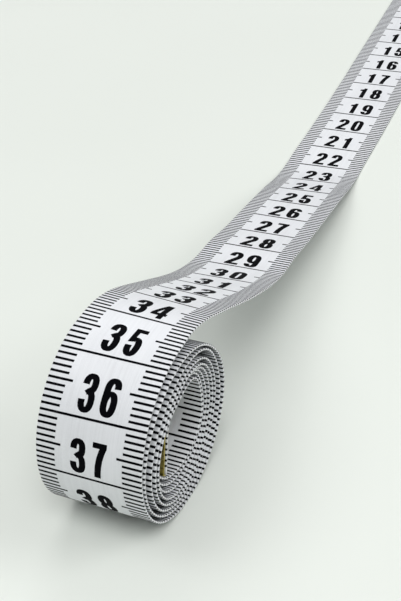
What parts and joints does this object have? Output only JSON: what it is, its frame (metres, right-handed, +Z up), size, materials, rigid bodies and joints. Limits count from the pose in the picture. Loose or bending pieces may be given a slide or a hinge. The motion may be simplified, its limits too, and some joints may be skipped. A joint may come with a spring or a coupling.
{
  "type": "cloth tape measure",
  "caption": "Soft printed tape measure, partly wound into a loose roll, with its free end laid out flat and a folded brass clip on each tip.",
  "frame": {"origin": "middle of the small flat under the roll, where its outermost turn stands on the table", "axes": "+X along the free stretch from the roll to the zero end, +Y across the strip to the left of that way, +Z up"},
  "size_m": [0.3556, 0.0206, 0.0321],
  "materials": {
    "printed_cloth": "satin coated cloth, cold white, printed in black on both faces",
    "clip_brass": "bright pressed sheet brass"
  },
  "bodies": {
    "root": {"tape_roll": "printed_cloth", "tape_free_stretch": "printed_cloth", "inner_end_clip": "clip_brass", "zero_end_clip": "clip_brass"}
  },
  "joints": []
}
